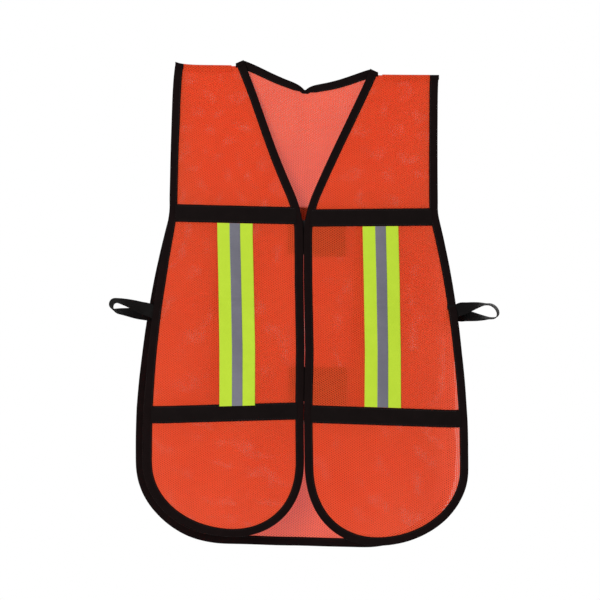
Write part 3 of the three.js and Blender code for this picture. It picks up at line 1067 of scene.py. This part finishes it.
# How each loop has twisted: its turn on its side and how soon it turns, half the gap between its legs at
# the waist and at the tip, its rise, how far its width leans outwards at the tip, and how much its legs
# differ in length.
STRAP_SHAPES = {
    "left": (math.radians(80), 1.0, 9 * MM, 8.2 * MM, 9 * MM, 0.35, 0),
    "right": (math.radians(84), 1.33, 9 * MM, 10 * MM, 1 * MM, 0.22, 3.5 * MM),
}


def strap_line(side):
    """The strap's middle line out along the front, round its tip and back, with its width's direction."""
    turn, haste, waist, half, rise, lean, slant = STRAP_SHAPES[side]
    sign = SIDES[side]
    tip_x = STRAP_TIP - half - lean * STRAP_WIDTH / 4
    front, back = (
        drape(panel, sign * STRAP_EDGE_X, along(STRAP_Z), STRAP_UNDER)[1]
        for panel in (f"front_{side}", "back")
    )
    leg = np.linspace(STRAP_ROOT_X, tip_x, 24)[:-1]
    out = (leg - STRAP_EDGE_X) / (tip_x - STRAP_EDGE_X)
    closing = smooth(out / STRAP_WAIST)
    opening = smooth((out - STRAP_WAIST) / (STRAP_SPREAD - STRAP_WAIST))
    spread = waist * closing + (half - waist) * opening
    arc = np.linspace(-math.pi / 2, math.pi / 2, 17)
    x = np.concatenate([leg, tip_x + half * np.cos(arc), leg[::-1]])
    near, far = front * (1 - closing) - spread, back * (1 - closing) + spread
    gap = np.concatenate([near, half * np.sin(arc), far[::-1]])
    share = (x - STRAP_EDGE_X) / (STRAP_TIP - STRAP_EDGE_X)
    angle = -turn * np.clip(haste * share, 0, 1) ** STRAP_TURN_POWER
    x = x + slant * smooth(share) * gap / half
    level = STRAP_Z + rise * smooth(share)
    middle_line = np.stack([sign * x, gap * np.cos(angle), level + gap * np.sin(angle)], axis=1)
    width = np.stack([sign * lean * smooth(share), -np.sin(angle), np.cos(angle)], axis=1)
    return middle_line, width


def add_strap(side):
    line, width = strap_line(side)
    face = np.cross(tangents(line), width)
    half = STRAP_THICK / 2
    section, over = section_of(*flat_profile(STRAP_WIDTH, (-half, half), soft=0.6 * MM))
    across = (section[:, 0] - STRAP_WIDTH / 2)[:, None]
    points = line[:, None] + width[:, None] * across + face[:, None] * section[:, 1:]
    uv = np.stack(np.broadcast_arrays(lengths(line)[:, None], over), axis=-1)
    strap = build(f"strap_loop_{side}", points, shell_faces(*points.shape[:2]), uv, STRAPPING)
    return attach(strap, f"strap_{side}", "strap", f"side_strap_{side}")


# The vest


def add_back():
    grid = back_grid()
    cloth = add_cloth("back_cloth", "back", grid, "back", ["back_panel"])
    outer = ["back_side_binding_left", "back_hem_binding", "back_side_binding_right"]
    trims = add_edging("edging_back", "back", back_line(), "back", outer)
    neck = back_neck_line()
    trims += add_edging("edging_back_neck", "back", neck, "back", ["back_neck_binding"], 0, neck_pinch)
    for name, z in (("chest", CHEST_Z), ("lower", LOWER_Z)):
        start = BINDING_WIDTH - BAND_TUCK - edge_at(z)
        trims += add_band(f"band_back_{name}", "back", z, start, "back", [f"back_{name}_band"])
    for side in SIDES:
        trims += add_tape("back", f"back_{side}")


def add_front(side):
    panel = f"front_{side}"
    grid = front_grid(side)
    cloth = add_cloth(f"front_cloth_{side}", panel, grid, side, [f"front_yoke_{side}", f"front_panel_{side}"])
    edges = ("neck_binding", "opening_binding", "front_hem_binding", "front_side_binding", "armhole_binding")
    trims = add_edging(f"edging_{panel}", panel, front_line(), side, [f"{name}_{side}" for name in edges])
    near = EDGE_X + BINDING_WIDTH - BAND_TUCK
    chest = [f"chest_band_end_{side}", f"chest_band_{side}"]
    trims += add_band(f"band_{panel}_chest", panel, CHEST_Z, near, side, chest)
    trims += add_band(f"band_{panel}_lower", panel, LOWER_Z, near, side, [f"lower_band_{side}"])
    trims += add_tape(panel, panel, TAPE_LAP, over_band) if side == "left" else add_tape(panel, panel)


SEAM_SADDLE = (8 * MM, 2.5 * MM, 0.6 * MM)  # leg, reach and wall
FOLD_SADDLE = (6 * MM, 3.4 * MM, 0.5 * MM)
FOLD_PAST = 0.4 * MM  # how far the folds of binding stand past the edge
NECK_FOLD_END_Z = 3 * MM


def add_shoulder(side):
    """The seam, and the folds of binding over the shoulder at the neck and the armhole."""
    sign = SIDES[side]
    near, far = sorted(abs(corner.x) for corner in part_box(f"shoulder_seam_{side}"))
    seam = saddle(f"seam_{side}", (sign * near, 0), (sign * far, 0), *SEAM_SADDLE, FRONT_MESH)
    attach(seam, "back", "mesh", f"shoulder_seam_{side}")
    folds = {
        "armhole": [(SHOULDER_HALF - BINDING_WIDTH, 0), (SHOULDER_HALF + FOLD_PAST, 0)],
        "neck": [(NECK_HALF - FOLD_PAST, NECK_RISE), (NECK_HALF + NECK_BINDING_REACH, NECK_FOLD_END_Z)],
    }
    for name, ends in folds.items():
        start, end = ((sign * x, z) for x, z in ends)
        attach(saddle(f"{name}_fold_{side}", start, end, *FOLD_SADDLE, BINDING), "back", "binding")


for name in SIDES:
    add_shoulder(name)
add_back()
for name in SIDES:
    add_front(name)
    add_strap(name)
for name in ("upper", "lower"):
    add_closure(name)


# Stage, light and camera

VIEW_WIDTH = 852 * MM  # across the picture, at the vest
VIEW_CENTRE = (-6 * MM, -329 * MM)
CAMERA_DISTANCE = 4.0
SENSOR = 36.0
FLOOR_Z = -1.0
FLOOR_RADIUS = 1.3
FLOOR_SIDES = 96
WORLD_LIGHT = 0.72  # of the surround, as a light


def pale_floor():
    graph = Graph("pale_floor")
    place = graph.node("TexCoord", {}).outputs["Object"]
    colour = graph.blend(graph.noise(place, 0.3), (0.80, 0.80, 0.80), (0.84, 0.84, 0.84))
    return graph.finish(graph.principled(Base_Color=colour, Roughness=0.9, Specular_IOR_Level=0.1))


def add_floor():
    turn = np.linspace(0, TAU, FLOOR_SIDES + 1)[:-1]
    points = [(FLOOR_RADIUS * math.cos(t), FLOOR_RADIUS * math.sin(t), FLOOR_Z) for t in turn]
    mesh = bpy.data.meshes.new("floor")
    mesh.from_pydata(points, [], [list(range(len(points)))])
    mesh.materials.append(pale_floor())
    new_object("floor", mesh)


def add_light(name, place, target, power, width):
    light = bpy.data.lights.new(name, "AREA")
    light.energy = power
    light.size = width
    made = new_object(name, light)
    made.location = place
    made.rotation_euler = (target - made.location).to_track_quat("-Z", "Y").to_euler()


def add_surround():
    """A white surround: full white to the camera, and softer as a light."""
    world = bpy.data.worlds.new("studio")
    world.use_nodes = True
    tree = world.node_tree
    background = tree.nodes["Background"]
    background.inputs["Color"].default_value = (1, 1, 1, 1)
    seen = tree.nodes.new("ShaderNodeLightPath")
    strength = tree.nodes.new("ShaderNodeMapRange")
    strength.inputs["To Min"].default_value = WORLD_LIGHT
    tree.links.new(seen.outputs["Is Camera Ray"], strength.inputs["Value"])
    tree.links.new(strength.outputs["Result"], background.inputs["Strength"])
    bpy.context.scene.world = world


def add_camera():
    data = bpy.data.cameras.new("camera")
    data.sensor_width = SENSOR
    front_y = -(PANEL_OFFSET - VIEW_CENTRE[1] * SIN)
    data.lens = SENSOR * CAMERA_DISTANCE / VIEW_WIDTH
    camera = new_object("camera", data)
    camera.location = (VIEW_CENTRE[0], front_y - CAMERA_DISTANCE, VIEW_CENTRE[1])
    camera.rotation_euler = (math.pi / 2, 0, 0)
    bpy.context.scene.camera = camera


low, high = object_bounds()
centre = (low + high) / 2
add_floor()
add_light("key", place=(-1.3, -2.6, -0.12), target=centre, power=48.5, width=1.2)
add_light("fill_back", place=(1.2, 2.6, 0.6), target=centre, power=33, width=1.4)
add_surround()
add_camera()
bpy.context.scene.view_settings.view_transform = "Standard"
